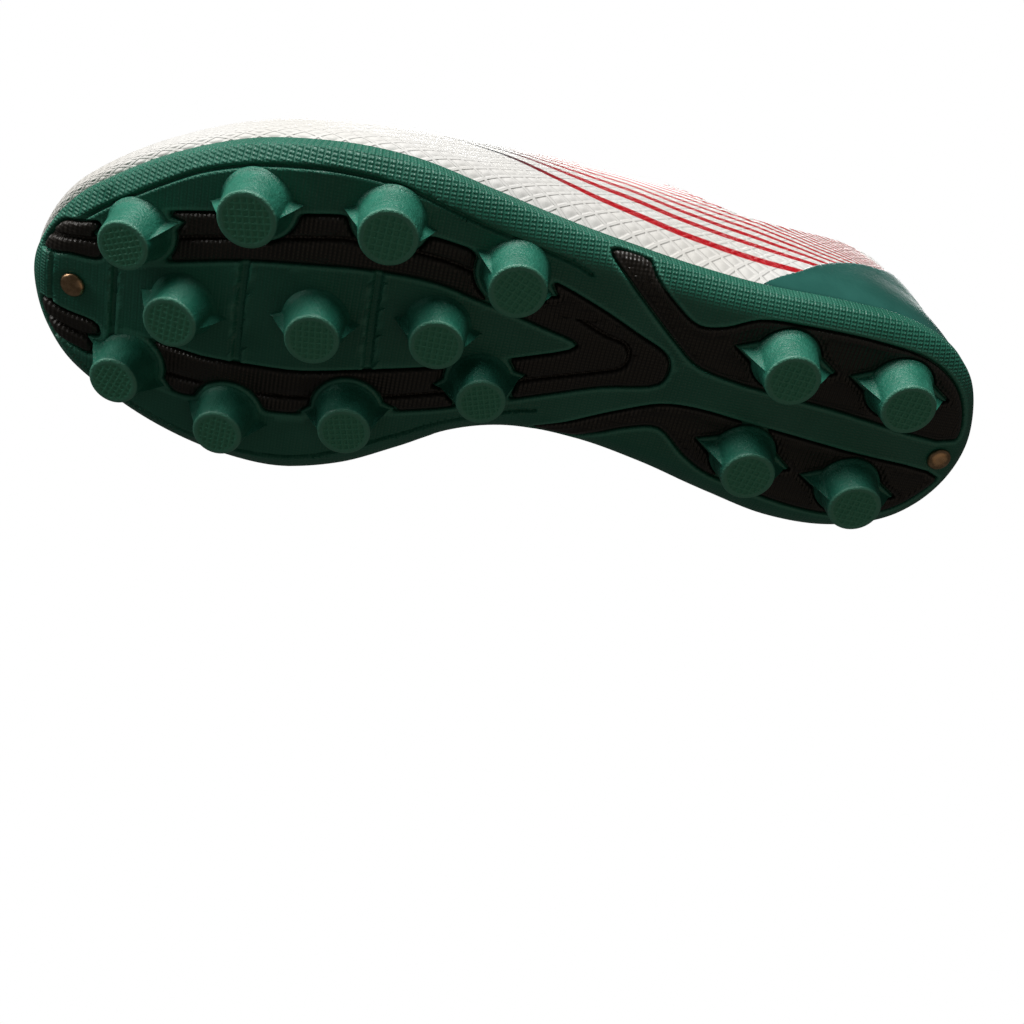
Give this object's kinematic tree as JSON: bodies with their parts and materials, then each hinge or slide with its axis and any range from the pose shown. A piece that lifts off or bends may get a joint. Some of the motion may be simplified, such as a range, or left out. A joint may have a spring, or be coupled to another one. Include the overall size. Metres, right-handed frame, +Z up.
{
  "type": "soccer cleat",
  "caption": "Low-cut soccer cleat for the left foot: moulded stud sole with dark ribbed inserts, smooth laced upper, glossy heel overlay, soft collar.",
  "frame": {"origin": "on the ground under the middle of the shoe's bounding box", "axes": "+Z up, toe towards -X, heel towards +X, outer (lateral) side towards -Y, inner (medial) side towards +Y"},
  "size_m": [0.2407, 0.0903, 0.1015],
  "materials": {
    "sole_green": "satin",
    "stud_green": "satin",
    "insert_black": "satin",
    "nail_copper": "polished",
    "board_fibre": "matte",
    "liner_fabric": "matte",
    "upper_white": "satin",
    "stiffener_plastic": "matte",
    "counter_teal": "gloss",
    "lining_red": "matte",
    "tongue_white": "satin"
  },
  "bodies": {
    "shoe": {"outsole_plate": "sole_green", "insert_forefoot_lateral": "insert_black", "insert_forefoot_medial": "insert_black", "insert_toe_lateral": "insert_black", "insert_toe_medial": "insert_black", "insert_heel_lateral": "insert_black", "insert_heel_medial": "insert_black", "stud_lateral_1": "stud_green", "stud_lateral_2": "stud_green", "stud_lateral_3": "stud_green", "stud_lateral_4": "stud_green", "stud_centre_1": "stud_green", "stud_centre_2": "stud_green", "stud_centre_3": "stud_green", "stud_medial_1": "stud_green", "stud_medial_2": "stud_green", "stud_medial_3": "stud_green", "stud_medial_4": "stud_green", "stud_heel_lateral_front": "stud_green", "stud_heel_lateral_rear": "stud_green", "stud_heel_medial_front": "stud_green", "stud_heel_medial_rear": "stud_green", "nail_toe": "nail_copper", "nail_heel": "nail_copper", "lasting_board": "board_fibre", "upper_lateral": "upper_white", "upper_medial": "upper_white", "toe_puff": "stiffener_plastic", "heel_stiffener": "stiffener_plastic", "heel_counter": "counter_teal", "collar_lining": "lining_red"},
    "tongue": {"tongue": "tongue_white"},
    "liner": {"sock_liner": "liner_fabric"}
  },
  "joints": [
    {"name": "tongue_fold", "type": "hinge", "parent": "shoe", "child": "tongue", "pos_m": [-0.03867, -0.00473, 0.053], "axis": [0, 1, 0], "range_deg": [0, 11]},
    {"name": "liner_lift", "type": "hinge", "parent": "shoe", "child": "liner", "pos_m": [-0.11167, 0.00327, 0.0235], "axis": [0, -1, 0], "range_deg": [0, 6]}
  ]
}
